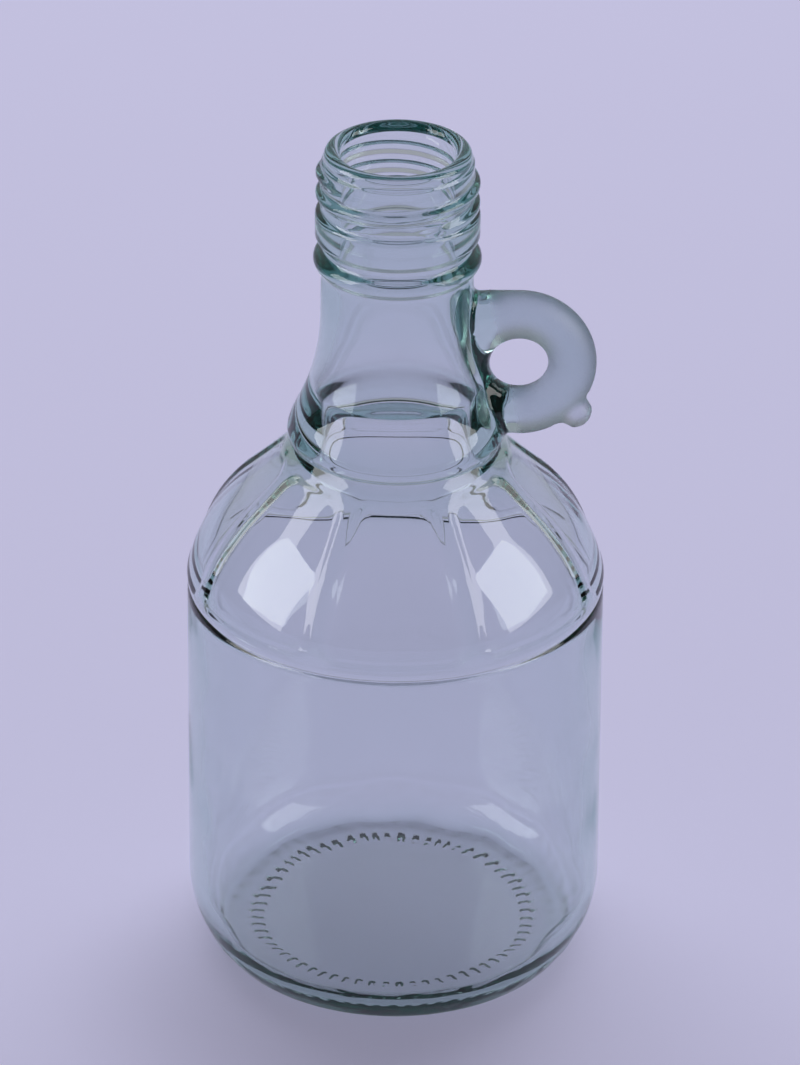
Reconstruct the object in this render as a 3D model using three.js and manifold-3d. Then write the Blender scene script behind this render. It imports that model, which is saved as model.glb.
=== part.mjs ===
// An empty half-litre oil jug of pressed and blown clear glass: a round body with a panelled
// shoulder, a flared neck with a threaded mouth, and a finger ring on the +X side of the neck.
// Millimetres, +Z up, the origin at the middle of the base, the finger ring in the XZ plane.

import * as THREE from 'three';
import { mergeVertices } from 'three/addons/utils/BufferGeometryUtils.js';
import Module from 'manifold-3d';

// Driving dimensions of the body
const TOTAL_HEIGHT = 178;
const BODY_RADIUS = 42.5;
const BODY_TOP_RADIUS = 42;
const BODY_TOP_Z = 80.6;
const BEARING_INNER_RADIUS = 26;
const PUSH_UP_HEIGHT = 1.3;
const HEEL_RADIUS = 23.5;
const HEEL_CORNER_RADIUS = 3;
const HEEL_CORNER_ANGLE = THREE.MathUtils.degToRad(38);
const LEDGE_ROUND_Z = 82.2;
const LEDGE_VALLEY_RADIUS = 41.35;
const LEDGE_VALLEY_Z = 82.6;

// Driving dimensions of the shoulder and its panels
const SHOULDER_FOOT_RADIUS = 41.9;
const SHOULDER_FOOT_Z = 83.3;
const SHOULDER_SWELL_RADIUS = 42.15;
const SHOULDER_SWELL_Z = 85.8;
const DOME_CENTRE_RADIUS = 5.8;
const DOME_CENTRE_Z = 75.5;
const DOME_RADIUS = 38;
const DOME_FOOT_ANGLE = THREE.MathUtils.degToRad(17.7);
const DOME_TOP_ANGLE = THREE.MathUtils.degToRad(47.5);
const PANEL_COUNT = 8;
const PANEL_DEPTH = 0.55;
const PANEL_EDGE = 1.6;
const PANEL_CORNER_RADIUS = 4;
const PANEL_FOOT_ANGLE = THREE.MathUtils.degToRad(14.6);
const PANEL_TOP_ANGLE = THREE.MathUtils.degToRad(66);
const RIB_HALF_WIDTH = 0.9;

// Driving dimensions of the neck
const ROOT_RADIUS = 20.3;
const ROOT_Z = 115;
const ROOT_LEAN = 0.5;
const SKIRT_RADIUS = 21.7;
const SKIRT_LIFT = 0.1;
const SKIRT_MIDDLE_Z = 117.2;
const FLARE_FOOT_Z = 122;
const FLARE_RADIUS = 48;
const NECK_RADIUS = 15.1;
const NECK_FOOT_Z = 143;
const NECK_TOP_RADIUS = 14.95;
const NECK_TOP_Z = 152.3;

// Driving dimensions of the threaded mouth
const BEAD_CENTRE_RADIUS = 14.65;
const BEAD_CENTRE_Z = 154.8;
const BEAD_ROUND_RADIUS = 1.85;
const BEAD_HALF_ANGLE = THREE.MathUtils.degToRad(65);
const BAND_RADIUS = 16.15;
const BAND_FOOT_Z = 158.4;
const BAND_BEVEL = 1.2;
const BAND_TOP_Z = 164.4;
const THREAD_ROOT_RADIUS = 14.9;
const THREAD_ROOT_Z = 166.2;
const THREAD_ROOT_TOP_Z = 173.5;
const THREAD_RIDGE_RADIUS = 1.35;
const THREAD_PATH_RADIUS = 14.65;
const THREAD_PITCH = 4.05;
const THREAD_TURNS = 1.85;
const THREAD_TOP_Z = 173.3;
const THREAD_TOP_TURN = -0.375;
const THREAD_FADE_TURNS = 0.14;
const THREAD_FADE_DEPTH = 1.1;
const LIP_RADIUS = 14.4;
const LIP_ROUND_RADIUS = 1.5;

// Driving dimensions of the inside
const BORE_RADIUS = 11.3;
const BORE_FOOT_RADIUS = 11.2;
const BORE_FOOT_Z = 146;
const INNER_FLARE_RADIUS = 48;
const INNER_FLARE_FOOT_Z = 127;
const INNER_WAIST_RADIUS = 17.4;
const INNER_WAIST_Z = 110;
const INNER_WAIST_LEAN = 0.1;
const INNER_DOME_RADIUS = 34.8;
const INNER_DOME_TOP_ANGLE = THREE.MathUtils.degToRad(58);
const INNER_DOME_FOOT_ANGLE = THREE.MathUtils.degToRad(21);
const INNER_WALL_TOP_RADIUS = 39.2;
const INNER_WALL_TOP_Z = 80;
const INNER_WALL_BEND_Z = 84.5;
const INNER_WALL_RADIUS = 39.6;
const INNER_HEEL_ANGLE = THREE.MathUtils.degToRad(15);
const FLOOR_EDGE_RADIUS = 27.5;
const FLOOR_EDGE_Z = 3.2;
const FLOOR_CENTRE_Z = 4.4;

// Driving dimensions of the finger ring
const RING_CENTRE_X = 24.1;
const RING_CENTRE_Z = 131.7;
const RING_RADIUS = 10.55;
const RING_BAR_RADIUS = 4.78;
const ARM_ROOT_RADIUS = 5.2;
const ARM_FLARE_X = 20;
const ARM_ROOT_X = 11;
const WALL_REACH = 1.5;
const NUB_RADIUS = 3.5;
const NUB_ANGLE = THREE.MathUtils.degToRad(-43.5);

// Fineness of the facets, round the axis and along each stretch of an outline
const PANEL_STEPS = 8;
const PANEL_STEP_GROWTH = 1.6;
const RING_STEPS = 28;
const RING_BAR_STEPS = 12;
const ARM_STEPS = 14;
const THREAD_STEPS_PER_TURN = 22;
const THREAD_SIDES = 8;
const NUB_STEPS = 12;
const MERGE_DISTANCE = 1e-4;
const STEPS = {
  straight: 1,
  corner: 2,
  roll: 2,
  small: 3,
  bead: 4,
  flare: 4,
  heel: 5,
  dome: 6,
};

const GLASS_COLOUR = 0xc9d2dc;
const GLASS_ROUGHNESS = 0.05;
const GLASS_METALNESS = 0;

const wasm = await Module();
wasm.setup();

const point = (radius, z) => new THREE.Vector2(radius, z);
const line = (from, to) => new THREE.LineCurve(from, to);
const bend = (from, control, to) => new THREE.QuadraticBezierCurve(from, control, to);

// A round stretch of an outline, turning from one angle to another about a centre
function arc(centre, radius, fromAngle, toAngle) {
  return new THREE.EllipseCurve(centre.x, centre.y, radius, radius, fromAngle, toAngle, toAngle < fromAngle);
}

// The point at an angle on such a round
function onRound(centre, radius, angle) {
  return point(centre.x + radius * Math.cos(angle), centre.y + radius * Math.sin(angle));
}

// Joins stretches, each given with its number of steps, into one list of points
function outlinePoints(stretches) {
  const points = [];
  for (const [curve, steps] of stretches) {
    for (const place of curve.getPoints(steps)) {
      const last = points[points.length - 1];
      if (!last || last.distanceTo(place) > MERGE_DISTANCE) {
        points.push(place);
      }
    }
  }
  return points;
}

// The point where two walls meet that widen downwards, each by its own lean
function leanCorner(upper, upperLean, lower, lowerLean) {
  const drop = upper.y - lower.y;
  const share = (lower.x - upper.x - lowerLean * drop) / (upperLean - lowerLean);
  return point(upper.x + upperLean * share, upper.y - share);
}

const heelTopZ = HEEL_CORNER_RADIUS + (HEEL_RADIUS - HEEL_CORNER_RADIUS) * Math.sin(HEEL_CORNER_ANGLE);
const heelCentre = point(BODY_RADIUS - HEEL_RADIUS, heelTopZ);
const domeCentre = point(DOME_CENTRE_RADIUS, DOME_CENTRE_Z);
const neckRoot = point(ROOT_RADIUS, ROOT_Z);
const innerWaist = point(INNER_WAIST_RADIUS, INNER_WAIST_Z);

// The outside from the middle of the underside up to the ledge
function bodyStretches() {
  const quarter = Math.PI / 2;
  const heelFoot = HEEL_CORNER_ANGLE;
  const heelFootRadius = BODY_RADIUS - HEEL_RADIUS * (1 - Math.cos(heelFoot));
  const cornerCentre = point(heelFootRadius - HEEL_CORNER_RADIUS * Math.cos(heelFoot), HEEL_CORNER_RADIUS);
  const bearingEdge = point(BEARING_INNER_RADIUS, 0);
  const pushUpControl = point(BEARING_INNER_RADIUS / 2, PUSH_UP_HEIGHT);
  const bodyTop = point(BODY_TOP_RADIUS, BODY_TOP_Z);
  const valley = point(LEDGE_VALLEY_RADIUS, LEDGE_VALLEY_Z);
  return [
    [bend(point(0, PUSH_UP_HEIGHT), pushUpControl, bearingEdge), STEPS.small],
    [line(bearingEdge, point(cornerCentre.x, 0)), STEPS.straight],
    [arc(cornerCentre, HEEL_CORNER_RADIUS, -quarter, -heelFoot), STEPS.corner],
    [arc(heelCentre, HEEL_RADIUS, -heelFoot, 0), STEPS.heel],
    [line(point(BODY_RADIUS, heelTopZ), bodyTop), STEPS.straight],
    [bend(bodyTop, point(BODY_TOP_RADIUS, LEDGE_ROUND_Z), valley), STEPS.corner],
  ];
}

// The outside from the ledge over the shoulder to the foot of the neck
function shoulderStretches() {
  const valley = point(LEDGE_VALLEY_RADIUS, LEDGE_VALLEY_Z);
  const foot = point(SHOULDER_FOOT_RADIUS, SHOULDER_FOOT_Z);
  const swell = point(SHOULDER_SWELL_RADIUS, SHOULDER_SWELL_Z);
  const domeFoot = onRound(domeCentre, DOME_RADIUS, DOME_FOOT_ANGLE);
  const domeTop = onRound(domeCentre, DOME_RADIUS, DOME_TOP_ANGLE);
  const rootCorner = leanCorner(neckRoot, ROOT_LEAN, domeTop, Math.tan(DOME_TOP_ANGLE));
  return [
    [line(valley, foot), STEPS.straight],
    [bend(foot, swell, domeFoot), STEPS.corner],
    [arc(domeCentre, DOME_RADIUS, DOME_FOOT_ANGLE, DOME_TOP_ANGLE), STEPS.dome],
    [bend(domeTop, rootCorner, neckRoot), STEPS.small],
  ];
}

// The outside of the neck from its rolled skirt to the bead
function neckStretches() {
  const flareCentre = point(NECK_RADIUS + FLARE_RADIUS, NECK_FOOT_Z);
  const flareTurn = Math.asin((NECK_FOOT_Z - FLARE_FOOT_Z) / FLARE_RADIUS);
  const flareFoot = onRound(flareCentre, FLARE_RADIUS, Math.PI + flareTurn);
  const skirtMiddle = point(SKIRT_RADIUS, SKIRT_MIDDLE_Z);
  const rollCorner = leanCorner(flareFoot, Math.tan(flareTurn), skirtMiddle, 0);
  const beadCentre = point(BEAD_CENTRE_RADIUS, BEAD_CENTRE_Z);
  return [
    [bend(neckRoot, point(SKIRT_RADIUS, ROOT_Z + SKIRT_LIFT), skirtMiddle), STEPS.corner],
    [bend(skirtMiddle, rollCorner, flareFoot), STEPS.roll],
    [arc(flareCentre, FLARE_RADIUS, Math.PI + flareTurn, Math.PI), STEPS.flare],
    [line(point(NECK_RADIUS, NECK_FOOT_Z), point(NECK_TOP_RADIUS, NECK_TOP_Z)), STEPS.straight],
    [arc(beadCentre, BEAD_ROUND_RADIUS, -BEAD_HALF_ANGLE, BEAD_HALF_ANGLE), STEPS.bead],
  ];
}

// The outside of the mouth from the groove over the lip into the bore
function mouthStretches() {
  const quarter = Math.PI / 2;
  const lipZ = TOTAL_HEIGHT - LIP_ROUND_RADIUS;
  const outerRound = point(LIP_RADIUS - LIP_ROUND_RADIUS, lipZ);
  const innerRound = point(BORE_RADIUS + LIP_ROUND_RADIUS, lipZ);
  const bandFoot = point(BAND_RADIUS - BAND_BEVEL, BAND_FOOT_Z);
  const bandLow = point(BAND_RADIUS, BAND_FOOT_Z + BAND_BEVEL);
  const bandTop = point(BAND_RADIUS, BAND_TOP_Z);
  const rootFoot = point(THREAD_ROOT_RADIUS, THREAD_ROOT_Z);
  const rootTop = point(THREAD_ROOT_RADIUS, THREAD_ROOT_TOP_Z);
  return [
    [line(bandFoot, bandLow), STEPS.straight],
    [line(bandLow, bandTop), STEPS.straight],
    [line(bandTop, rootFoot), STEPS.straight],
    [line(rootFoot, rootTop), STEPS.straight],
    [arc(outerRound, LIP_ROUND_RADIUS, 0, quarter), STEPS.corner],
    [arc(innerRound, LIP_ROUND_RADIUS, quarter, Math.PI), STEPS.corner],
  ];
}

// The inside of the neck from a height in the bore down to its waist, or a surface in its wall
function neckHollowStretches(topZ, wall) {
  const boreFoot = point(BORE_FOOT_RADIUS + wall, BORE_FOOT_Z);
  const flareCentre = point(boreFoot.x + INNER_FLARE_RADIUS, BORE_FOOT_Z);
  const flareTurn = Math.asin((BORE_FOOT_Z - INNER_FLARE_FOOT_Z) / INNER_FLARE_RADIUS);
  const flareFoot = onRound(flareCentre, INNER_FLARE_RADIUS, Math.PI + flareTurn);
  const waist = point(innerWaist.x + wall, innerWaist.y);
  const waistCorner = leanCorner(flareFoot, Math.tan(flareTurn), waist, INNER_WAIST_LEAN);
  return [
    [line(point(BORE_RADIUS + wall, topZ), boreFoot), STEPS.straight],
    [arc(flareCentre, INNER_FLARE_RADIUS, Math.PI, Math.PI + flareTurn), STEPS.small],
    [bend(flareFoot, waistCorner, waist), STEPS.corner],
  ];
}

// The inside from the bore down to the middle of the floor
function insideStretches() {
  const domeTop = onRound(domeCentre, INNER_DOME_RADIUS, INNER_DOME_TOP_ANGLE);
  const rootCorner = leanCorner(innerWaist, INNER_WAIST_LEAN, domeTop, Math.tan(INNER_DOME_TOP_ANGLE));
  const domeFoot = onRound(domeCentre, INNER_DOME_RADIUS, INNER_DOME_FOOT_ANGLE);
  const wallTop = point(INNER_WALL_TOP_RADIUS, INNER_WALL_TOP_Z);
  const heelRadius = INNER_WALL_RADIUS - heelCentre.x;
  const heelFoot = onRound(heelCentre, heelRadius, -INNER_HEEL_ANGLE);
  const floorLean = Math.tan(INNER_HEEL_ANGLE);
  const floorCorner = point(heelFoot.x - (heelFoot.y - FLOOR_EDGE_Z) * floorLean, FLOOR_EDGE_Z);
  const floorEdge = point(FLOOR_EDGE_RADIUS, FLOOR_EDGE_Z);
  const floorControl = point(FLOOR_EDGE_RADIUS / 2, FLOOR_CENTRE_Z);
  return [
    ...neckHollowStretches(TOTAL_HEIGHT - LIP_ROUND_RADIUS, 0),
    [bend(innerWaist, rootCorner, domeTop), STEPS.corner],
    [arc(domeCentre, INNER_DOME_RADIUS, INNER_DOME_TOP_ANGLE, INNER_DOME_FOOT_ANGLE), STEPS.heel],
    [bend(domeFoot, point(INNER_WALL_TOP_RADIUS, INNER_WALL_BEND_Z), wallTop), STEPS.corner],
    [line(wallTop, point(INNER_WALL_RADIUS, heelTopZ)), STEPS.straight],
    [arc(heelCentre, heelRadius, 0, -INNER_HEEL_ANGLE), STEPS.straight],
    [bend(heelFoot, floorCorner, floorEdge), STEPS.bead],
    [bend(floorEdge, floorControl, point(0, FLOOR_CENTRE_Z)), STEPS.corner],
  ];
}

// A closed triangle mesh as a solid that can be joined and cut
function solidFrom(geometry) {
  const bare = geometry.index ? geometry.toNonIndexed() : geometry.clone();
  bare.deleteAttribute('normal');
  bare.deleteAttribute('uv');
  const merged = mergeVertices(bare, MERGE_DISTANCE);
  const corners = merged.index.array;
  const triangles = [];
  for (let i = 0; i < corners.length; i += 3) {
    const [a, b, c] = corners.slice(i, i + 3);
    if (a !== b && b !== c && c !== a) {
      triangles.push(a, b, c);
    }
  }
  const vertProperties = new Float32Array(merged.attributes.position.array);
  const triVerts = new Uint32Array(triangles);
  return new wasm.Manifold(new wasm.Mesh({ numProp: 3, vertProperties, triVerts }));
}

// A solid turned about the Z axis from an outline that starts and ends on that axis
function turned(points, steps) {
  const geometry = new THREE.LatheGeometry(points, steps);
  geometry.rotateX(Math.PI / 2);
  return geometry;
}

// How far a place on the shoulder is pressed in: nothing on the ribs and along the foot,
// the whole depth inside a panel, with rounded lower corners and soft edges
function panelPress(angleFromRib, domeAngle, radius) {
  const across = angleFromRib * radius - RIB_HALF_WIDTH;
  const up = (domeAngle - PANEL_FOOT_ANGLE) * DOME_RADIUS;
  const down = (PANEL_TOP_ANGLE - domeAngle) * DOME_RADIUS;
  const along = Math.min(up, down);
  const cornerX = Math.max(PANEL_CORNER_RADIUS - across, 0);
  const cornerY = Math.max(PANEL_CORNER_RADIUS - along, 0);
  const inCorner = PANEL_CORNER_RADIUS - Math.hypot(cornerX, cornerY);
  const depthIn = Math.min(across, along, inCorner);
  return PANEL_DEPTH * THREE.MathUtils.smoothstep(depthIn, 0, PANEL_EDGE);
}

// The angle from the nearest rib, which lies halfway between two panel middles
function angleFromNearestRib(angle) {
  const span = (2 * Math.PI) / PANEL_COUNT;
  const fromPanel = angle - span * Math.round(angle / span);
  return span / 2 - Math.abs(fromPanel);
}

// Moves a turned row's places closer together at the ribs
function gatherAtRibs(angle) {
  const halfSpan = Math.PI / PANEL_COUNT;
  const rib = halfSpan + 2 * halfSpan * Math.round((angle - halfSpan) / (2 * halfSpan));
  const share = (angle - rib) / halfSpan;
  return rib + Math.sign(share) * Math.abs(share) ** PANEL_STEP_GROWTH * halfSpan;
}

// The bottle: one turned solid, wall and hollow together, with its shoulder panels pressed in
function buildBottle() {
  const outsideStretches = [
    ...bodyStretches(),
    ...shoulderStretches(),
    ...neckStretches(),
    ...mouthStretches(),
  ];
  const outside = outlinePoints(outsideStretches);
  const all = outlinePoints([...outsideStretches, ...insideStretches()]);
  const geometry = turned(all, PANEL_COUNT * PANEL_STEPS);
  const places = geometry.attributes.position;
  for (let i = 0; i < places.count; i += 1) {
    const profile = all[i % all.length];
    const isOutside = i % all.length < outside.length;
    const angle = gatherAtRibs(Math.atan2(places.getY(i), places.getX(i)));
    const domeAngle = Math.atan2(profile.y - DOME_CENTRE_Z, profile.x - DOME_CENTRE_RADIUS);
    const onDome = isOutside && profile.y > LEDGE_VALLEY_Z && profile.y < ROOT_Z;
    const press = onDome ? panelPress(angleFromNearestRib(angle), domeAngle, profile.x) : 0;
    const radius = profile.x - press * Math.cos(domeAngle);
    const z = profile.y - press * Math.sin(domeAngle);
    places.setXYZ(i, radius * Math.cos(angle), radius * Math.sin(angle), z);
  }
  return solidFrom(geometry);
}

// The raised screw thread, a round ridge that sinks into the mouth at both ends
class ThreadPath extends THREE.Curve {
  getPoint(share, target = new THREE.Vector3()) {
    const turn = THREAD_TURNS * share;
    const fromEnd = Math.min(turn, THREAD_TURNS - turn) / THREAD_FADE_TURNS;
    const sunk = THREAD_FADE_DEPTH * (1 - THREE.MathUtils.smoothstep(fromEnd, 0, 1));
    const radius = THREAD_PATH_RADIUS - sunk;
    const angle = 2 * Math.PI * (THREAD_TOP_TURN - THREAD_TURNS + turn);
    const z = THREAD_TOP_Z - THREAD_PITCH * (THREAD_TURNS - turn);
    return target.set(radius * Math.cos(angle), radius * Math.sin(angle), z);
  }
}

function buildThread() {
  const section = new THREE.Shape();
  section.absarc(0, 0, THREAD_RIDGE_RADIUS, 0, 2 * Math.PI);
  const geometry = new THREE.ExtrudeGeometry(section, {
    curveSegments: THREAD_SIDES / 2,
    steps: Math.round(THREAD_TURNS * THREAD_STEPS_PER_TURN),
    extrudePath: new ThreadPath(),
  });
  return solidFrom(geometry);
}

// One straight arm of the finger ring, widening where it meets the neck
function buildArm(z) {
  const rootEdge = point(ARM_ROOT_RADIUS, ARM_ROOT_X);
  const flareEnd = point(RING_BAR_RADIUS, ARM_FLARE_X);
  const ringEnd = point(RING_BAR_RADIUS, RING_CENTRE_X);
  const arm = outlinePoints([
    [line(point(0, ARM_ROOT_X), rootEdge), STEPS.straight],
    [bend(rootEdge, point(RING_BAR_RADIUS, NECK_RADIUS), flareEnd), STEPS.small],
    [line(flareEnd, ringEnd), STEPS.straight],
    [line(ringEnd, point(0, RING_CENTRE_X)), STEPS.straight],
  ]);
  const geometry = turned(arm, ARM_STEPS);
  geometry.rotateY(Math.PI / 2);
  geometry.translate(0, 0, z);
  return solidFrom(geometry);
}

// The middle of the neck's wall, which the finger ring reaches into but not through
function buildNeckCore() {
  const top = point(BORE_RADIUS + WALL_REACH, NECK_TOP_Z);
  const foot = point(INNER_WAIST_RADIUS + WALL_REACH, INNER_WAIST_Z);
  const core = outlinePoints([
    [line(point(0, NECK_TOP_Z), top), STEPS.straight],
    ...neckHollowStretches(NECK_TOP_Z, WALL_REACH),
    [line(foot, point(0, INNER_WAIST_Z)), STEPS.straight],
  ]);
  return solidFrom(turned(core.reverse(), PANEL_COUNT * PANEL_STEPS));
}

// The finger ring: a round bar bent to a ring, two arms into the neck, and a ball-shaped nub
function buildFingerRing() {
  const ring = new THREE.TorusGeometry(RING_RADIUS, RING_BAR_RADIUS, RING_BAR_STEPS, RING_STEPS);
  ring.rotateX(Math.PI / 2);
  ring.translate(RING_CENTRE_X, 0, RING_CENTRE_Z);
  const nubReach = RING_RADIUS + RING_BAR_RADIUS;
  const nub = new THREE.SphereGeometry(NUB_RADIUS, NUB_STEPS, NUB_STEPS / 2);
  nub.translate(
    RING_CENTRE_X + nubReach * Math.cos(NUB_ANGLE),
    0,
    RING_CENTRE_Z + nubReach * Math.sin(NUB_ANGLE),
  );
  return solidFrom(ring)
    .add(buildArm(RING_CENTRE_Z + RING_RADIUS))
    .add(buildArm(RING_CENTRE_Z - RING_RADIUS))
    .add(solidFrom(nub))
    .subtract(buildNeckCore());
}

function meshFrom(solid, name) {
  const { vertProperties, triVerts } = solid.getMesh();
  const geometry = new THREE.BufferGeometry();
  geometry.setAttribute('position', new THREE.BufferAttribute(new Float32Array(vertProperties), 3));
  geometry.setIndex(new THREE.BufferAttribute(new Uint32Array(triVerts), 1));
  geometry.computeVertexNormals();
  const material = new THREE.MeshStandardMaterial({
    color: GLASS_COLOUR,
    roughness: GLASS_ROUGHNESS,
    metalness: GLASS_METALNESS,
  });
  const mesh = new THREE.Mesh(geometry, material);
  mesh.name = name;
  return mesh;
}

const jug = new THREE.Group();
jug.add(meshFrom(buildBottle().add(buildThread()).add(buildFingerRing()), 'jug'));

export default jug;
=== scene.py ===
# An empty half-litre oil jug of clear glass with a frosted finger ring, standing on a pale ground.

import math

import bmesh
import bpy
from mathutils import Matrix, Vector, noise
from mathutils.kdtree import KDTree


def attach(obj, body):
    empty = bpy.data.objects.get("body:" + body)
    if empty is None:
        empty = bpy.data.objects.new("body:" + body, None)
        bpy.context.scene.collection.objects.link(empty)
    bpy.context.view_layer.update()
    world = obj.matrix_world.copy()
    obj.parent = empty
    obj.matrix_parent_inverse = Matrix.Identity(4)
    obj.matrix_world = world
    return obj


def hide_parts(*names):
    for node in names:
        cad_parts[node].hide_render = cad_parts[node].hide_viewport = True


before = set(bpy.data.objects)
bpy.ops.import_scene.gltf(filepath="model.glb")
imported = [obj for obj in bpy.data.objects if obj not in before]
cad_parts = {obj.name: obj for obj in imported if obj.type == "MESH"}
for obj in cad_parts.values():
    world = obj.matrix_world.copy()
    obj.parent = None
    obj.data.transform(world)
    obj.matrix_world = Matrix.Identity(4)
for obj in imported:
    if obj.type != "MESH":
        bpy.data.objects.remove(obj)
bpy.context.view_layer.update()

MM = 0.001

# Body, in millimetres as every length of the glass
BODY_RADIUS = 42.5
BODY_TOP_RADIUS = 42.0
BODY_TOP_Z = 80.6
PUSH_UP_HEIGHT = 1.3
BEARING_INNER_RADIUS = 26.0
KNURL_INNER_RADIUS = 26.6
KNURL_OUTER_RADIUS = 29.4
KNURL_DASHES = 64
KNURL_DEPTH = 0.45
KNURL_END = 0.5
KNURL_SHARPNESS = 2
KNURL_CUTS = 2
HEEL_RADIUS = 23.5
HEEL_CORNER_RADIUS = 3.0
HEEL_CORNER_ANGLE = math.radians(38)
STIPPLE_DEPTH = 0.12
STIPPLE_LENGTH = 2.2
STIPPLE_GAP = 1.0
LEDGE_ROUND_Z = 82.2
LEDGE_VALLEY_RADIUS = 41.35
LEDGE_VALLEY_Z = 82.6

# Shoulder and its pressed panels
SHOULDER_FOOT_RADIUS = 41.9
SHOULDER_FOOT_Z = 83.3
SHOULDER_SWELL_RADIUS = 42.15
SHOULDER_SWELL_Z = 85.8
DOME_CENTRE_RADIUS = 5.8
DOME_CENTRE_Z = 75.5
DOME_CENTRE = (DOME_CENTRE_RADIUS, DOME_CENTRE_Z)
DOME_RADIUS = 38.0
DOME_FOOT_ANGLE = math.radians(17.7)
DOME_TOP_ANGLE = math.radians(47.5)
PANEL_COUNT = 8
PANEL_DEPTH = 0.6
PANEL_EDGE = 1.7
PANEL_CORNER_RADIUS = 4.0
PANEL_FOOT_ANGLE = math.radians(14.6)
PANEL_TOP_ANGLE = math.radians(66)
RIB_HALF_WIDTH = 0.9
RIB_GATHER = 1.45
RIB_GATHER_FOOT = 3.0
RIB_GATHER_HEAD = 4.0

# Neck
ROOT_RADIUS = 20.3
ROOT_Z = 115.0
ROOT_LEAN = 0.5
SKIRT_RADIUS = 21.7
SKIRT_LIFT = 0.1
SKIRT_MIDDLE_Z = 117.2
FLARE_FOOT_Z = 122.0
FLARE_RADIUS = 48.0
NECK_RADIUS = 15.1
NECK_FOOT_Z = 143.0
NECK_TOP_RADIUS = 14.95
NECK_TOP_Z = 152.3
NECK_TOP_BEND = 0.6

# Threaded mouth
BEAD_CENTRE_RADIUS = 14.65
BEAD_CENTRE_Z = 154.8
BEAD_ROUND_RADIUS = 1.85
BEAD_HALF_ANGLE = math.radians(65)
GROOVE_RADIUS = 14.7
GROOVE_Z = 157.6
GROOVE_BEND = 0.6
BAND_RADIUS = 16.15
BAND_FOOT_Z = 158.8
BAND_LOW_Z = 160.2
BAND_TOP_Z = 163.8
BAND_HEAD_Z = 164.9
BAND_ROUND = 0.3
THREAD_ROOT_RADIUS = 14.9
THREAD_ROOT_Z = 166.2
THREAD_CREST = 1.1
THREAD_FLAT = 0.3
THREAD_REACH = 1.65
THREAD_PITCH = 4.05
THREAD_TURNS = 1.85
THREAD_TOP_Z = 173.3
THREAD_TOP_TURN = -0.375
THREAD_FADE_TURNS = 0.14
THREAD_WHOLE_TURNS = range(-1, 4)
THREAD_FOOT_REACH = 1.0
MOUTH_TOP_Z = 175.2
MOUTH_TOP_BEND = 0.4
LIP_RADIUS = 14.4
LIP_ROUND_RADIUS = 1.5
LIP_Z = 178.0

# Hollow
BORE_RADIUS = 11.3
BORE_FOOT_RADIUS = 11.2
BORE_FOOT_Z = 146.0
INNER_FLARE_RADIUS = 48.0
INNER_FLARE_FOOT_Z = 127.0
INNER_WAIST_RADIUS = 17.4
INNER_WAIST_Z = 110.0
INNER_WAIST_LEAN = 0.1
INNER_DOME_RADIUS = 34.8
INNER_DOME_TOP_ANGLE = math.radians(58)
INNER_DOME_FOOT_ANGLE = math.radians(21)
INNER_WALL_TOP_RADIUS = 39.2
INNER_WALL_TOP_Z = 80.0
INNER_WALL_BEND_Z = 84.5
INNER_WALL_RADIUS = 39.6
INNER_HEEL_ANGLE = math.radians(15)
FLOOR_EDGE_RADIUS = 27.5
FLOOR_EDGE_Z = 3.2
FLOOR_CENTRE_Z = 4.4
WAVE_FOOT_Z = 2.7
WAVE_DEPTH = 0.22
WAVE_LENGTH = 22.0
FINE_WAVE_SHARE = 0.5
FINE_WAVES = 2.3
HEEL_RIPPLE = 1.0
HEEL_RIPPLE_LENGTH = 3.2
HEEL_RIPPLE_FULL_Z = 4.0
HEEL_RIPPLE_TOP_Z = 9.0

# Finger ring
RING_CENTRE_X = 24.1
RING_CENTRE_Z = 131.7
RING_RADIUS = 10.55
RING_BAR_RADIUS = 4.78
ARM_ROOT_RADIUS = 5.2
ARM_ROOT_X = 11.0
ARM_FLARE_X = 20.0
NUB_RADIUS = 3.5
NUB_ANGLE = math.radians(-43.5)
WALL_REACH = 1.5

# Seams of the finger ring, and the room in which they are softened
SEAM_ANGLE = math.radians(24)
SEAM_REACH = 2.4
SEAM_ROUNDS = 14
SEAM_SOFTNESS = 0.5
SEAM_MERGE_DISTANCE = 0.04
SEAM_NEAR_X = 11.1
SEAM_HALF_WIDTH = 12.0
SEAM_FOOT_Z = 108.0
SEAM_TOP_Z = 152.0
SEAM_WALL_RADIUS = 13.9

# Fineness of the glass
ROUND_STEPS = 256
RING_STEPS = 84
BAR_STEPS = 44
NUB_FINENESS = 4
MERGE_DISTANCE = 0.004
LEVEL_TOLERANCE = 0.01
PLAIN_SIDES = 4

# Clear glass, and the frost on the finger ring, in metres
GLASS_IOR = 1.52
GLASS_BOUNCES = 40
CLEAR_TINT = (0.99, 0.96, 0.99, 1.0)
DEPTH_COLOUR = (0.07, 0.5, 0.42, 1.0)
DEPTH_DENSITY = 56.0
FROST_TINT = (1.0, 0.925, 1.0, 1.0)
FROST_ROUGHNESS = 0.4
FROST_SLANT = 0.22
FROST_START = 0.0505
FROST_FULL = 0.0520
FROST_HALF_HEIGHT = 0.0190
RAGGED_SCALE = 420.0
RAGGED_REACH = 0.0016
GRAIN_SCALE = 2600.0
GRAIN_DETAIL = 3.0
GRAIN_STRENGTH = 0.5
GRAIN_DEPTH = 0.0003

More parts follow.
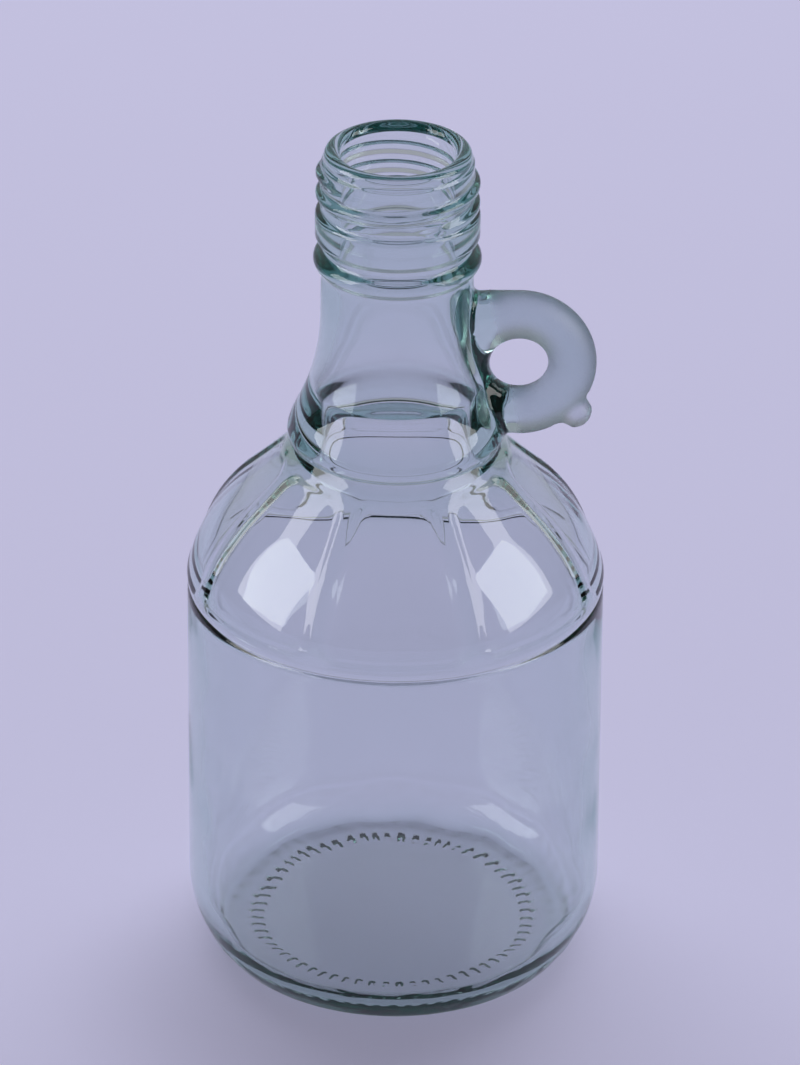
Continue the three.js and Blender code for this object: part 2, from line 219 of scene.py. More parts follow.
# Pale ground with a painted glow, as if lit softly from below: its disc in millimetres, its light in metres
GROUND_RADIUS = 3000
GROUND_STEPS = 96
GROUND_GAP = 0.3
GROUND_ROUGHNESS = 0.9
GROUND_GLOSS = 0.1
GROUND_TINT = (0.525, 0.51, 0.70, 1.0)
GROUND_CLOUD_TINT = (0.535, 0.52, 0.715, 1.0)
CLOUD_SCALE = 6.0
GLOW_STRENGTH = 0.5
GLOW_FADE_START = 0.45
GLOW_FADE_END = 1.5
GLOW_FAR_SHARE = 0.4
# Painted shadow: the glow is dimmed round a spot under the jug's front, as if the jug shaded the ground
PAINTED_SHADOW_CENTRE = (-0.014, -0.03, 0.0)
PAINTED_SHADOW_RADIUS = 0.02
PAINTED_SHADOW_END = 0.062
PAINTED_SHADOW_SHARE = 0.76
NO_GLOW = (0.0, 0.0, 0.0, 1.0)

# Studio, in metres and watts
LIGHT_AIM = Vector((0.0, 0.0, 0.09))
SIDE_BOX_TURN = math.radians(80)
SIDE_BOX_LIFT = math.radians(26)
SIDE_BOX_DISTANCE = 1.2
SIDE_BOX_SIZE = (0.78, 0.82)
LEFT_BOX_POWER = 7.6
RIGHT_BOX_POWER = 6.8
BACK_BOX_TURN = math.radians(180)
BACK_BOX_LIFT = math.radians(58)
BACK_BOX_DISTANCE = 2.4
BACK_BOX_SIZE = (3.0, 1.4)
BACK_BOX_POWER = 28.0
STUDIO_COLOUR = (1.0, 1.0, 1.1, 1.0)
STUDIO_DARK = 0.08
BACK_WALL_BRIGHT = 0.42
BACK_WALL_START = 0.2
BACK_WALL_FULL = 0.85

# Camera, from the photograph's 800 x 1065 frame
IMAGE_HEIGHT = 1065
FOCAL_PIXELS = 5200
SENSOR = 36.0
VIEW_ELEVATION = math.radians(29.4)
VIEW_DISTANCE = 1.0448
VIEW_TARGET = Vector((0.00086, 0.0, 0.0929))
VIEW_ROLL = 0.0068
VIEW_END = 20.0


def smooth_step(low, high, value):
    """A share that goes softly from 0 to 1 while a value goes from low to high."""
    share = min(max((value - low) / (high - low), 0.0), 1.0)
    return share * share * (3.0 - 2.0 * share)


class Pen:
    """Draws an outline as a chain of edges in the XZ plane, in millimetres."""

    def __init__(self, mesh, across, up):
        self.mesh = mesh
        self.verts = [mesh.verts.new((across, 0.0, up))]
        self.edges = []

    @property
    def at(self):
        return self.verts[-1].co.x, self.verts[-1].co.z

    def to(self, across, up):
        self.verts.append(self.mesh.verts.new((across, 0.0, up)))
        self.edges.append(self.mesh.edges.new(self.verts[-2:]))

    def line(self, across, up, steps=1):
        start_across, start_up = self.at
        for step in range(1, steps + 1):
            share = step / steps
            self.to(start_across + (across - start_across) * share, start_up + (up - start_up) * share)

    def bend(self, corner, end, steps):
        start = self.at
        for step in range(1, steps + 1):
            share = step / steps
            near = (1 - share) ** 2
            middle = 2 * share * (1 - share)
            far = share**2
            self.to(
                near * start[0] + middle * corner[0] + far * end[0],
                near * start[1] + middle * corner[1] + far * end[1],
            )

    def arc(self, centre, radius, start, end, steps):
        for step in range(1, steps + 1):
            self.to(*on_round(centre, radius, start + (end - start) * step / steps))

    def chain(self):
        return self.verts + self.edges


def on_round(centre, radius, angle):
    """A place on a circle in the outline's plane."""
    return centre[0] + radius * math.cos(angle), centre[1] + radius * math.sin(angle)


def lean_corner(upper, upper_lean, lower, lower_lean):
    """Where two walls meet that widen downwards, each by its own lean, from an upper and a lower place."""
    drop = upper[1] - lower[1]
    share = (lower[0] - upper[0] - lower_lean * drop) / (upper_lean - lower_lean)
    return upper[0] + upper_lean * share, upper[1] - share


def heel_top():
    """The height at which the heel's round runs into the body's side."""
    return HEEL_CORNER_RADIUS + (HEEL_RADIUS - HEEL_CORNER_RADIUS) * math.sin(HEEL_CORNER_ANGLE)


def draw_body(pen):
    """The outside from the middle of the underside up to the ledge."""
    foot = HEEL_CORNER_ANGLE
    foot_radius = BODY_RADIUS - HEEL_RADIUS * (1 - math.cos(foot))
    corner = (foot_radius - HEEL_CORNER_RADIUS * math.cos(foot), HEEL_CORNER_RADIUS)
    pen.bend((BEARING_INNER_RADIUS / 2, PUSH_UP_HEIGHT), (BEARING_INNER_RADIUS, 0), steps=7)
    pen.line(KNURL_INNER_RADIUS, 0)
    pen.line(KNURL_OUTER_RADIUS, 0, steps=8)
    pen.line(corner[0], 0, steps=3)
    pen.arc(corner, HEEL_CORNER_RADIUS, -math.pi / 2, -foot, steps=6)
    pen.arc((BODY_RADIUS - HEEL_RADIUS, heel_top()), HEEL_RADIUS, -foot, 0, steps=14)
    pen.line(BODY_TOP_RADIUS, BODY_TOP_Z, steps=4)
    pen.bend((BODY_TOP_RADIUS, LEDGE_ROUND_Z), (LEDGE_VALLEY_RADIUS, LEDGE_VALLEY_Z), steps=6)


def draw_shoulder(pen):
    """The outside from the ledge over the domed shoulder to the foot of the neck."""
    dome_foot = on_round(DOME_CENTRE, DOME_RADIUS, DOME_FOOT_ANGLE)
    dome_top = on_round(DOME_CENTRE, DOME_RADIUS, DOME_TOP_ANGLE)
    root = (ROOT_RADIUS, ROOT_Z)
    corner = lean_corner(root, ROOT_LEAN, dome_top, math.tan(DOME_TOP_ANGLE))
    pen.line(SHOULDER_FOOT_RADIUS, SHOULDER_FOOT_Z, steps=2)
    pen.bend((SHOULDER_SWELL_RADIUS, SHOULDER_SWELL_Z), dome_foot, steps=6)
    pen.arc(DOME_CENTRE, DOME_RADIUS, DOME_FOOT_ANGLE, DOME_TOP_ANGLE, steps=34)
    pen.bend(corner, root, steps=22)


def draw_neck(pen):
    """The outside from the rolled skirt up the flared neck and over the bead."""
    flare_centre = (NECK_RADIUS + FLARE_RADIUS, NECK_FOOT_Z)
    flare_turn = math.asin((NECK_FOOT_Z - FLARE_FOOT_Z) / FLARE_RADIUS)
    flare_foot = on_round(flare_centre, FLARE_RADIUS, math.pi + flare_turn)
    skirt = (SKIRT_RADIUS, SKIRT_MIDDLE_Z)
    bead_centre = (BEAD_CENTRE_RADIUS, BEAD_CENTRE_Z)
    bead_foot = on_round(bead_centre, BEAD_ROUND_RADIUS, -BEAD_HALF_ANGLE)
    pen.bend((SKIRT_RADIUS, ROOT_Z + SKIRT_LIFT), skirt, steps=5)
    pen.bend(lean_corner(flare_foot, math.tan(flare_turn), skirt, 0), flare_foot, steps=9)
    pen.arc(flare_centre, FLARE_RADIUS, math.pi + flare_turn, math.pi, steps=26)
    pen.line(NECK_TOP_RADIUS, NECK_TOP_Z - NECK_TOP_BEND, steps=9)
    pen.bend((NECK_TOP_RADIUS, NECK_TOP_Z), bead_foot, steps=3)
    pen.arc(bead_centre, BEAD_ROUND_RADIUS, -BEAD_HALF_ANGLE, BEAD_HALF_ANGLE, steps=12)


def draw_mouth(pen):
    """The outside from the groove over the plain band, the thread's ground and the lip."""
    lip_round_z = LIP_Z - LIP_ROUND_RADIUS
    band_foot = ((GROOVE_RADIUS + BAND_RADIUS) / 2, BAND_FOOT_Z + BAND_ROUND)
    band_head = ((BAND_RADIUS + THREAD_ROOT_RADIUS) / 2, BAND_HEAD_Z + BAND_ROUND)
    pen.bend((GROOVE_RADIUS, GROOVE_Z - GROOVE_BEND), (GROOVE_RADIUS, GROOVE_Z), steps=4)
    pen.bend((GROOVE_RADIUS, BAND_FOOT_Z), band_foot, steps=4)
    pen.bend((BAND_RADIUS, BAND_FOOT_Z + 2 * BAND_ROUND), (BAND_RADIUS, BAND_LOW_Z), steps=5)
    pen.line(BAND_RADIUS, BAND_TOP_Z, steps=3)
    pen.bend((BAND_RADIUS, BAND_HEAD_Z), band_head, steps=5)
    thread_foot = (THREAD_ROOT_RADIUS, THREAD_ROOT_Z)
    pen.bend((THREAD_ROOT_RADIUS, BAND_HEAD_Z + 2 * BAND_ROUND), thread_foot, steps=4)
    pen.line(THREAD_ROOT_RADIUS, MOUTH_TOP_Z, steps=34)
    pen.bend((LIP_RADIUS, MOUTH_TOP_Z + MOUTH_TOP_BEND), (LIP_RADIUS, lip_round_z), steps=4)
    outer_round = (LIP_RADIUS - LIP_ROUND_RADIUS, lip_round_z)
    inner_round = (BORE_RADIUS + LIP_ROUND_RADIUS, lip_round_z)
    pen.arc(outer_round, LIP_ROUND_RADIUS, 0, math.pi / 2, steps=6)
    pen.arc(inner_round, LIP_ROUND_RADIUS, math.pi / 2, math.pi, steps=6)


def draw_neck_hollow(pen, wall):
    """The inside of the neck from the bore down to its waist, or a surface in its wall."""
    flare_centre = (BORE_FOOT_RADIUS + INNER_FLARE_RADIUS + wall, BORE_FOOT_Z)
    turn = math.asin((BORE_FOOT_Z - INNER_FLARE_FOOT_Z) / INNER_FLARE_RADIUS)
    flare_foot = on_round(flare_centre, INNER_FLARE_RADIUS, math.pi + turn)
    waist = (INNER_WAIST_RADIUS + wall, INNER_WAIST_Z)
    pen.line(BORE_FOOT_RADIUS + wall, BORE_FOOT_Z, steps=6)
    pen.arc(flare_centre, INNER_FLARE_RADIUS, math.pi, math.pi + turn, steps=12)
    pen.bend(lean_corner(flare_foot, math.tan(turn), waist, INNER_WAIST_LEAN), waist, steps=14)


def draw_hollow(pen):
    """The inside from the bore down to the middle of the floor."""
    waist = (INNER_WAIST_RADIUS, INNER_WAIST_Z)
    dome_top = on_round(DOME_CENTRE, INNER_DOME_RADIUS, INNER_DOME_TOP_ANGLE)
    under_waist = lean_corner(waist, INNER_WAIST_LEAN, dome_top, math.tan(INNER_DOME_TOP_ANGLE))
    wall_top = (INNER_WALL_TOP_RADIUS, INNER_WALL_TOP_Z)
    heel_centre = (BODY_RADIUS - HEEL_RADIUS, heel_top())
    draw_neck_hollow(pen, 0)
    pen.bend(under_waist, dome_top, steps=8)
    pen.arc(DOME_CENTRE, INNER_DOME_RADIUS, INNER_DOME_TOP_ANGLE, INNER_DOME_FOOT_ANGLE, steps=14)
    pen.bend((INNER_WALL_TOP_RADIUS, INNER_WALL_BEND_Z), wall_top, steps=5)
    pen.line(INNER_WALL_RADIUS, heel_top(), steps=16)
    pen.arc(heel_centre, INNER_WALL_RADIUS - heel_centre[0], 0, -INNER_HEEL_ANGLE, steps=10)
    heel_across, heel_up = pen.at
    corner = heel_across - (heel_up - FLOOR_EDGE_Z) * math.tan(INNER_HEEL_ANGLE)
    pen.bend((corner, FLOOR_EDGE_Z), (FLOOR_EDGE_RADIUS, FLOOR_EDGE_Z), steps=12)
    pen.bend((FLOOR_EDGE_RADIUS / 2, FLOOR_CENTRE_Z), (0, FLOOR_CENTRE_Z), steps=7)


def spin_round(mesh, chain, steps, centre=(0, 0, 0), axis=(0, 0, 1)):
    """Turns an outline once round an axis into a closed skin that faces out."""
    bmesh.ops.spin(
        mesh, geom=chain, cent=centre, axis=axis, angle=2 * math.pi, steps=steps, use_merge=True
    )
    bmesh.ops.remove_doubles(mesh, verts=mesh.verts[:], dist=MERGE_DISTANCE)
    bmesh.ops.recalc_face_normals(mesh, faces=mesh.faces[:])


def from_axis(vert):
    """How far a place is from the jug's axis."""
    return math.hypot(vert.co.x, vert.co.y)


def round_axis(vert):
    """The angle of a place round the jug's axis."""
    return math.atan2(vert.co.y, vert.co.x)


def from_dome(vert):
    """How far a place is from the circle that the dome is drawn round."""
    return math.hypot(from_axis(vert) - DOME_CENTRE_RADIUS, vert.co.z - DOME_CENTRE_Z)


def spread(vert, factor):
    """Moves a place straight away from the jug's axis, or towards it."""
    vert.co.x *= factor
    vert.co.y *= factor


def panel_press(angle, dome_angle, radius):
    """How far a place on the shoulder is pressed in: nothing on ribs and foot, all of it in a panel."""
    span = 2 * math.pi / PANEL_COUNT
    from_rib = span / 2 - abs(angle - span * round(angle / span))
    across = from_rib * radius - RIB_HALF_WIDTH
    up = (dome_angle - PANEL_FOOT_ANGLE) * DOME_RADIUS
    down = (PANEL_TOP_ANGLE - dome_angle) * DOME_RADIUS
    along = min(up, down)
    corner_across = max(PANEL_CORNER_RADIUS - across, 0)
    corner_along = max(PANEL_CORNER_RADIUS - along, 0)
    in_corner = PANEL_CORNER_RADIUS - math.hypot(corner_across, corner_along)
    return PANEL_DEPTH * smooth_step(0, PANEL_EDGE, min(across, along, in_corner))


def gather_at_ribs(angle, share):
    """Draws the places of a row closer together at the ribs."""
    half = math.pi / PANEL_COUNT
    rib = half + 2 * half * round((angle - half) / (2 * half))
    from_rib = (angle - rib) / half
    gathered = rib + math.copysign(abs(from_rib) ** RIB_GATHER, from_rib) * half
    return angle + (gathered - angle) * share


def shape_shoulder(mesh):
    """Gathers the shoulder's places at the ribs, then presses the panels in square to the surface."""
    pressed = {}
    for vert in mesh.verts:
        z = vert.co.z
        if z < LEDGE_VALLEY_Z or z > ROOT_Z or from_dome(vert) < (DOME_RADIUS + INNER_DOME_RADIUS) / 2:
            continue
        radius = from_axis(vert)
        over_foot = smooth_step(0, RIB_GATHER_FOOT, z - LEDGE_VALLEY_Z)
        under_head = smooth_step(0, RIB_GATHER_HEAD, ROOT_Z - z)
        angle = gather_at_ribs(round_axis(vert), over_foot * under_head)
        dome_angle = math.atan2(z - DOME_CENTRE_Z, radius - DOME_CENTRE_RADIUS)
        vert.co = (radius * math.cos(angle), radius * math.sin(angle), z)
        pressed[vert] = panel_press(angle, dome_angle, radius)
    mesh.normal_update()
    for vert, press in pressed.items():
        vert.co -= vert.normal * press


def thread_rise(angle, z):
    """How far the screw thread stands out at a place on the mouth."""
    rise = 0.0
    start = THREAD_TOP_TURN - angle / (2 * math.pi)
    for whole in THREAD_WHOLE_TURNS:
        turn = start + whole
        if 0 < turn < THREAD_TURNS:
            fade = smooth_step(0, 1, min(turn, THREAD_TURNS - turn) / THREAD_FADE_TURNS)
            off = abs(z - THREAD_TOP_Z + THREAD_PITCH * turn)
            here = THREAD_CREST * fade * (1 - smooth_step(THREAD_FLAT, THREAD_REACH, off))
            rise = max(rise, here)
    return rise


def raise_thread(mesh):
    """Raises the screw thread from its ground on the mouth."""
    for vert in mesh.verts:
        radius = from_axis(vert)
        z = vert.co.z
        on_ground = BAND_TOP_Z - THREAD_FOOT_REACH < z < LIP_Z - LIP_ROUND_RADIUS
        if on_ground and radius > (BORE_RADIUS + LIP_RADIUS) / 2:
            rise = thread_rise(round_axis(vert), z)
            if rise > 0:
                spread(vert, max(radius, THREAD_ROOT_RADIUS + rise) / radius)


def press_knurl(mesh):
    """Presses short dashes up into the ring that the jug stands on, and stipples the heel's corner."""
    rings = []
    for edge in mesh.edges:
        near, far = (from_axis(vert) for vert in edge.verts)
        low = max(vert.co.z for vert in edge.verts) < LEVEL_TOLERANCE
        round_edge = abs(near - far) < LEVEL_TOLERANCE
        if low and round_edge and (
            KNURL_INNER_RADIUS - LEVEL_TOLERANCE < near < KNURL_OUTER_RADIUS + LEVEL_TOLERANCE
        ):
            rings.append(edge)
    bmesh.ops.subdivide_edges(mesh, edges=rings, cuts=KNURL_CUTS, use_grid_fill=True)
    for vert in mesh.verts:
        radius = from_axis(vert)
        if vert.co.z < LEVEL_TOLERANCE and KNURL_INNER_RADIUS < radius < KNURL_OUTER_RADIUS:
            wave = ((1 - math.cos(KNURL_DASHES * round_axis(vert))) / 2) ** KNURL_SHARPNESS
            ends = smooth_step(0, KNURL_END, min(radius - KNURL_INNER_RADIUS, KNURL_OUTER_RADIUS - radius))
            vert.co.z += KNURL_DEPTH * wave * ends * (1 + noise.noise(vert.co / STIPPLE_LENGTH))
        elif vert.co.z < HEEL_CORNER_RADIUS and radius > KNURL_OUTER_RADIUS + STIPPLE_GAP:
            spread(vert, 1 + STIPPLE_DEPTH * noise.noise(vert.co / STIPPLE_LENGTH) / radius)
            vert.co.z += STIPPLE_DEPTH * (1 + noise.noise(vert.co / STIPPLE_LENGTH))


def ripple_inside(mesh):
    """The blown inside is never quite even."""
    for vert in mesh.verts:
        radius = from_axis(vert)
        z = vert.co.z
        in_wall = WAVE_FOOT_Z < z < DOME_CENTRE_Z and radius < (BODY_RADIUS + INNER_WALL_RADIUS) / 2
        in_dome = z >= DOME_CENTRE_Z and from_dome(vert) < (DOME_RADIUS + INNER_DOME_RADIUS) / 2
        if radius > FLOOR_EDGE_RADIUS / 2 and (in_wall or in_dome):
            wave = noise.noise(vert.co / WAVE_LENGTH)
            wave += FINE_WAVE_SHARE * noise.noise(vert.co * FINE_WAVES / WAVE_LENGTH)
            at_heel = smooth_step(-HEEL_RIPPLE_TOP_Z, -HEEL_RIPPLE_FULL_Z, -z)
            wave += HEEL_RIPPLE * noise.noise(vert.co / HEEL_RIPPLE_LENGTH) * at_heel
            spread(vert, 1 + WAVE_DEPTH * wave / radius)


def new_piece(mesh, name):
    """Makes an object in metres from a bmesh in millimetres."""
    data = bpy.data.meshes.new(name)
    mesh.to_mesh(data)
    mesh.free()
    data.transform(Matrix.Scale(MM, 4))
    piece = bpy.data.objects.new(name, data)
    bpy.context.scene.collection.objects.link(piece)
    return piece


def make_bottle():
    """The body, shoulder, neck and mouth with their hollow."""
    mesh = bmesh.new()
    pen = Pen(mesh, 0, PUSH_UP_HEIGHT)
    draw_body(pen)
    draw_shoulder(pen)
    draw_neck(pen)
    draw_mouth(pen)
    draw_hollow(pen)
    spin_round(mesh, pen.chain(), ROUND_STEPS)
    shape_shoulder(mesh)
    raise_thread(mesh)
    press_knurl(mesh)
    ripple_inside(mesh)
    return new_piece(mesh, "glass_jug")


def make_ring():
    """The round bar of the finger ring."""
    mesh = bmesh.new()
    place = Matrix.Translation((RING_CENTRE_X + RING_RADIUS, 0, RING_CENTRE_Z))
    bar = bmesh.ops.create_circle(mesh, segments=BAR_STEPS, radius=RING_BAR_RADIUS, matrix=place)
    loop = bar["verts"] + list({edge for vert in bar["verts"] for edge in vert.link_edges})
    spin_round(mesh, loop, RING_STEPS, (RING_CENTRE_X, 0, RING_CENTRE_Z), (0, 1, 0))
    return new_piece(mesh, "ring_bar")


def make_arm(z, name):
    """One of the two arms that carry the finger ring, widening towards the neck."""
    mesh = bmesh.new()
    bar_z = z + RING_BAR_RADIUS
    pen = Pen(mesh, ARM_ROOT_X, z)
    pen.line(ARM_ROOT_X, z + ARM_ROOT_RADIUS)
    pen.bend((NECK_RADIUS, bar_z), (ARM_FLARE_X, bar_z), steps=14)
    pen.line(RING_CENTRE_X, bar_z, steps=5)
    pen.line(RING_CENTRE_X, z)
    spin_round(mesh, pen.chain(), BAR_STEPS, (0, 0, z), (1, 0, 0))
    return new_piece(mesh, name)


def make_nub():
    """The small knob at the finger ring's lower outer side."""
    mesh = bmesh.new()
    across, up = on_round((RING_CENTRE_X, RING_CENTRE_Z), RING_RADIUS + RING_BAR_RADIUS, NUB_ANGLE)
    place = Matrix.Translation((across, 0, up))
    bmesh.ops.create_icosphere(mesh, subdivisions=NUB_FINENESS, radius=NUB_RADIUS, matrix=place)
    return new_piece(mesh, "ring_nub")


def make_neck_core():
    """The middle of the neck's wall, which the finger ring reaches into but not through."""
    mesh = bmesh.new()
    pen = Pen(mesh, 0, NECK_TOP_Z)
    pen.line(BORE_RADIUS + WALL_REACH, NECK_TOP_Z)
    draw_neck_hollow(pen, WALL_REACH)
    pen.line(0, INNER_WAIST_Z)
    spin_round(mesh, pen.chain(), ROUND_STEPS // 2)
    return new_piece(mesh, "neck_core")


def join_solids(piece, other, operation):
    """Joins another solid to a piece, or cuts it away, and removes the other one."""
    cut = piece.modifiers.new(operation, "BOOLEAN")
    cut.object = other
    cut.operation = operation
    cut.solver = "MANIFOLD"
    bpy.context.view_layer.update()
    result = bpy.data.meshes.new_from_object(piece.evaluated_get(bpy.context.evaluated_depsgraph_get()))
    piece.modifiers.clear()
    old = piece.data
    piece.data = result
    result.name = old.name
    bpy.data.meshes.remove(old)
    bpy.data.objects.remove(other)


def by_finger_ring(vert):
    """Whether a place is on the outside where the finger ring and the neck meet."""
    x, y, z = vert.co / MM
    outside = x > SEAM_NEAR_X and math.hypot(x, y) > SEAM_WALL_RADIUS
    return outside and abs(y) < SEAM_HALF_WIDTH and SEAM_FOOT_Z < z < SEAM_TOP_Z


def is_seam(edge):
    """Whether an edge is a sharp line by the finger ring."""
    sharp = len(edge.link_faces) == 2 and edge.calc_face_angle(0) > SEAM_ANGLE
    return sharp and all(by_finger_ring(vert) for vert in edge.verts)


def soften_seams(piece):
    """Rounds the sharp lines where the finger ring runs into the neck and where its solids meet."""
    mesh = bmesh.new()
    mesh.from_mesh(piece.data)
    bmesh.ops.remove_doubles(mesh, verts=mesh.verts[:], dist=SEAM_MERGE_DISTANCE * MM)
    stray = [vert for vert in mesh.verts if not vert.link_faces]
    bmesh.ops.delete(mesh, geom=stray, context="VERTS")
    near_ring = [vert for vert in mesh.verts if by_finger_ring(vert)]
    seam = [vert for vert in near_ring if any(is_seam(edge) for edge in vert.link_edges)]
    tree = KDTree(len(seam))
    for index, vert in enumerate(seam):
        tree.insert(vert.co, index)
    tree.balance()
    moved = [vert for vert in near_ring if tree.find(vert.co)[2] < SEAM_REACH * MM]
    for _ in range(SEAM_ROUNDS):
        bmesh.ops.smooth_vert(
            mesh, verts=moved, factor=SEAM_SOFTNESS, use_axis_x=True, use_axis_y=True, use_axis_z=True
        )
    many_sided = [face for face in mesh.faces if len(face.verts) > PLAIN_SIDES]
    bmesh.ops.triangulate(mesh, faces=many_sided)
    mesh.to_mesh(piece.data)
    mesh.free()


def make_jug():
    """The whole jug in one piece of glass."""
    jug = make_bottle()
    ring = make_ring()
    join_solids(ring, make_arm(RING_CENTRE_Z + RING_RADIUS, "upper_arm"), "UNION")
    join_solids(ring, make_arm(RING_CENTRE_Z - RING_RADIUS, "lower_arm"), "UNION")
    join_solids(ring, make_nub(), "UNION")
    join_solids(ring, make_neck_core(), "DIFFERENCE")
    join_solids(jug, ring, "UNION")
    soften_seams(jug)
    jug.data.shade_smooth()
    jug.data.materials.clear()
    jug.data.materials.append(glass_material())
    return jug


def make_ground():
    """The wide round ground that the jug stands on."""
    mesh = bmesh.new()
    bmesh.ops.create_circle(mesh, cap_ends=True, segments=GROUND_STEPS, radius=GROUND_RADIUS)
    bmesh.ops.translate(mesh, verts=mesh.verts[:], vec=(0, 0, -GROUND_GAP))
    ground = new_piece(mesh, "ground")
    ground.data.materials.append(ground_material())
    return ground


def add_node(tree, kind, values=None, **settings):
    """Adds a node with its settings and the values of its sockets, each a plain one or another's output."""
    node = tree.nodes.new(kind)
    for setting, choice in settings.items():
        setattr(node, setting, choice)
    for name, value in (values or {}).items():
        if isinstance(value, bpy.types.NodeSocket):
            tree.links.new(value, node.inputs[name])
        else:
            node.inputs[name].default_value = value
    return node


def add_maths(tree, operation, *terms):
    """Works out a value from plain numbers and other nodes' outputs."""
    return add_node(tree, "ShaderNodeMath", dict(enumerate(terms)), operation=operation).outputs[0]


def add_noise(tree, place, values):
    """An uneven value over the piece."""
    return add_node(tree, "ShaderNodeTexNoise", {"Vector": place, **values}).outputs["Fac"]


def add_fade(tree, value, start, end, low, high):
    """A share that goes softly from low to high while a value goes from start to end."""
    values = {"Value": value, "From Min": start, "From Max": end, "To Min": low, "To Max": high}
    return add_node(tree, "ShaderNodeMapRange", values, interpolation_type="SMOOTHSTEP").outputs[0]


def add_tint(tree, share, first, second):
    """A colour between two others."""
    values = {"Factor": share, "A": first, "B": second}
    return add_node(tree, "ShaderNodeMix", values, data_type="RGBA").outputs["Result"]


def glass_material():
    """Clear glass that is green in its depth, with the frosted skin of the finger ring."""
    material = bpy.data.materials.new("clear_and_frosted_glass")
    material.use_nodes = True
    tree = material.node_tree
    shader = tree.nodes["Principled BSDF"]
    shader.inputs["Metallic"].default_value = 0.0
    shader.inputs["Transmission Weight"].default_value = 1.0
    shader.inputs["IOR"].default_value = GLASS_IOR
    place = add_node(tree, "ShaderNodeTexCoord").outputs["Object"]
    parts = add_node(tree, "ShaderNodeSeparateXYZ", {0: place})
    # The frost starts on a slanting, ragged line across the finger ring's arms
    slant = add_maths(tree, "MULTIPLY_ADD", parts.outputs["Z"], FROST_SLANT, parts.outputs["X"])
    ragged = add_noise(tree, place, {"Scale": RAGGED_SCALE})
    edge = add_maths(tree, "MULTIPLY_ADD", ragged, RAGGED_REACH, slant)
    outer = add_fade(tree, edge, FROST_START, FROST_FULL, 0.0, 1.0)
    # Only the finger ring is frosted, which lies high up on the jug
    high = add_maths(tree, "COMPARE", parts.outputs["Z"], RING_CENTRE_Z * MM, FROST_HALF_HEIGHT)
    frost = add_maths(tree, "MULTIPLY", outer, high)
    tree.links.new(add_tint(tree, frost, CLEAR_TINT, FROST_TINT), shader.inputs["Base Color"])
    tree.links.new(add_maths(tree, "MULTIPLY", frost, FROST_ROUGHNESS), shader.inputs["Roughness"])
    grain = add_noise(tree, place, {"Scale": GRAIN_SCALE, "Detail": GRAIN_DETAIL})
    grit = add_maths(tree, "MULTIPLY", grain, frost)
    skin = {"Strength": GRAIN_STRENGTH, "Distance": GRAIN_DEPTH, "Height": grit}
    tree.links.new(add_node(tree, "ShaderNodeBump", skin).outputs["Normal"], shader.inputs["Normal"])
    depth = add_node(tree, "ShaderNodeVolumeAbsorption", {"Color": DEPTH_COLOUR, "Density": DEPTH_DENSITY})
    tree.links.new(depth.outputs[0], tree.nodes["Material Output"].inputs["Volume"])
    return material


def ground_material():
    """A pale, faintly cloudy ground with a painted glow, as if over a lit sheet, and a painted shadow under
    the jug.
    """
    material = bpy.data.materials.new("pale_ground")
    material.use_nodes = True
    tree = material.node_tree
    shader = tree.nodes["Principled BSDF"]
    shader.inputs["Roughness"].default_value = GROUND_ROUGHNESS
    shader.inputs["Specular IOR Level"].default_value = GROUND_GLOSS
    # Painted glow: the ground gives off light of its own in place of a lit sheet beneath it
    shader.inputs["Emission Strength"].default_value = GLOW_STRENGTH
    place = add_node(tree, "ShaderNodeTexCoord").outputs["Object"]
    cloud = add_noise(tree, place, {"Scale": CLOUD_SCALE})
    tint = add_tint(tree, cloud, GROUND_TINT, GROUND_CLOUD_TINT)
    tree.links.new(tint, shader.inputs["Base Color"])
    # The painted glow fades out softly far away from the jug, and a painted shadow dims it where the jug
    # stands on it
    away = add_node(tree, "ShaderNodeVectorMath", {0: place}, operation="LENGTH").outputs["Value"]
    far = add_fade(tree, away, GLOW_FADE_START, GLOW_FADE_END, 1.0, GLOW_FAR_SHARE)
    middle = add_node(tree, "ShaderNodeVectorMath", {0: place, 1: PAINTED_SHADOW_CENTRE}, operation="DISTANCE")
    painted_shadow = add_fade(tree, middle.outputs["Value"], PAINTED_SHADOW_RADIUS, PAINTED_SHADOW_END, PAINTED_SHADOW_SHARE, 1.0)
    glow = add_tint(tree, add_maths(tree, "MULTIPLY", far, painted_shadow), NO_GLOW, tint)
    tree.links.new(glow, shader.inputs["Emission Color"])
    return material


def soft_box(name, turn, lift, distance, size, power, receiver):
    """A soft box that faces the jug and lights one thing only."""
    light = bpy.data.lights.new(name, "AREA")
    light.shape = "RECTANGLE"
    light.size, light.size_y = size
    light.energy = power
    lamp = bpy.data.objects.new(name, light)
    away = Vector((math.sin(turn) * math.cos(lift), -math.cos(turn) * math.cos(lift), math.sin(lift)))
    lamp.location = LIGHT_AIM + away * distance
    lamp.rotation_euler = away.to_track_quat("Z", "Y").to_euler()
    lamp.visible_camera = False
    lamp.light_linking.receiver_collection = receiver
    bpy.context.scene.collection.objects.link(lamp)


def only(piece, name):
    """A collection with one piece, for the lights that are meant for it."""
    collection = bpy.data.collections.new(name)
    collection.objects.link(piece)
    return collection


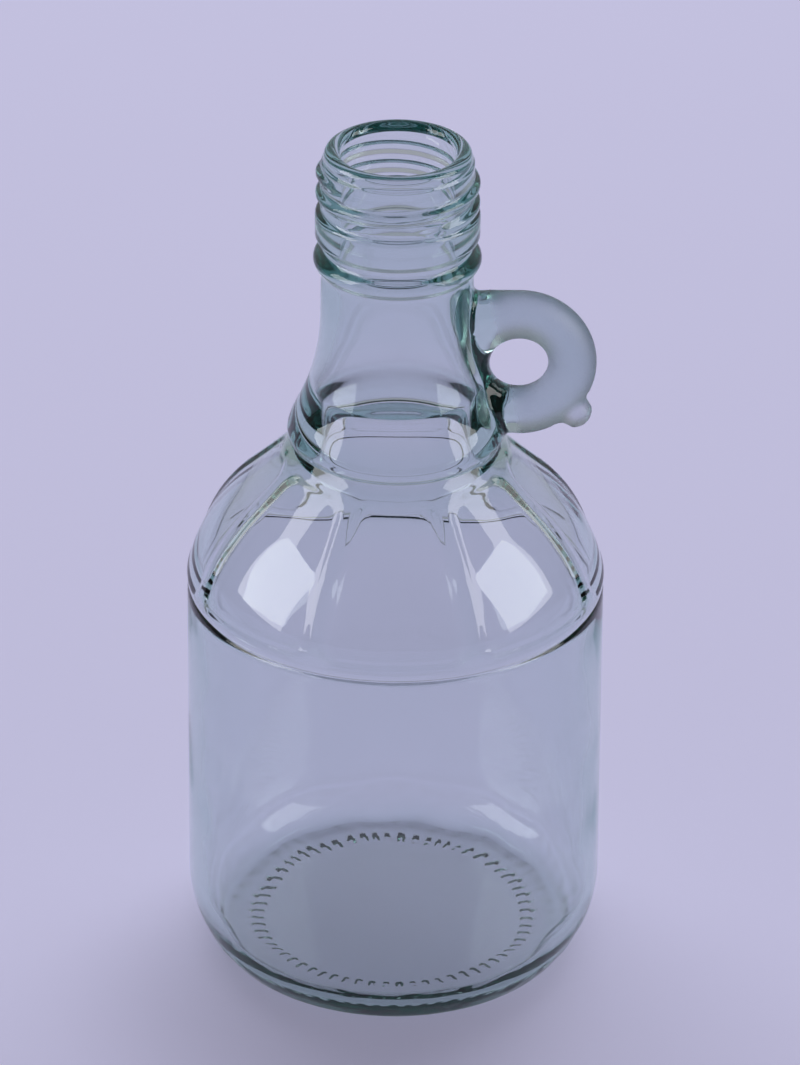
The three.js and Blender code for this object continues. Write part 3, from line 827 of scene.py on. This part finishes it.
def set_lights(jug, ground):
    """A soft box on each side for the glass, and one behind for the ground."""
    glass_only = only(jug, "glass_only")
    ground_only = only(ground, "ground_only")
    side = (SIDE_BOX_LIFT, SIDE_BOX_DISTANCE, SIDE_BOX_SIZE)
    back = (BACK_BOX_LIFT, BACK_BOX_DISTANCE, BACK_BOX_SIZE)
    soft_box("left_soft_box", -SIDE_BOX_TURN, *side, LEFT_BOX_POWER, glass_only)
    soft_box("right_soft_box", SIDE_BOX_TURN, *side, RIGHT_BOX_POWER, glass_only)
    soft_box("back_soft_box", BACK_BOX_TURN, *back, BACK_BOX_POWER, ground_only)


def set_studio():
    """A studio that is dark but for a pale wall far behind the jug."""
    world = bpy.data.worlds.new("dark_studio")
    bpy.context.scene.world = world
    world.use_nodes = True
    tree = world.node_tree
    backdrop = tree.nodes["Background"]
    backdrop.inputs["Color"].default_value = STUDIO_COLOUR
    look = add_node(tree, "ShaderNodeTexCoord").outputs["Generated"]
    behind = add_node(tree, "ShaderNodeSeparateXYZ", {0: look}).outputs["Y"]
    wall = add_fade(tree, behind, BACK_WALL_START, BACK_WALL_FULL, STUDIO_DARK, BACK_WALL_BRIGHT)
    tree.links.new(wall, backdrop.inputs["Strength"])


def set_camera():
    """The camera where the photograph was taken from."""
    camera = bpy.data.objects.new("camera", bpy.data.cameras.new("camera"))
    camera.data.sensor_width = SENSOR
    camera.data.lens = FOCAL_PIXELS * SENSOR / IMAGE_HEIGHT
    camera.data.clip_end = VIEW_END
    back = Vector((0, -math.cos(VIEW_ELEVATION), math.sin(VIEW_ELEVATION)))
    turn = back.to_track_quat("Z", "Y") @ Matrix.Rotation(VIEW_ROLL, 3, "Z").to_quaternion()
    camera.location = VIEW_TARGET + back * VIEW_DISTANCE
    camera.rotation_euler = turn.to_euler()
    bpy.context.scene.collection.objects.link(camera)
    bpy.context.scene.camera = camera
    bpy.context.scene.view_settings.view_transform = "Standard"


def set_light_paths():
    """Light turns back many times inside the thick glass before it comes out."""
    light_paths = bpy.context.scene.cycles
    light_paths.max_bounces = GLASS_BOUNCES
    light_paths.glossy_bounces = GLASS_BOUNCES
    light_paths.transmission_bounces = GLASS_BOUNCES


jug = make_jug()
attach(jug, "root")
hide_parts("jug")

ground = make_ground()

set_lights(jug, ground)
set_studio()
set_camera()
set_light_paths()
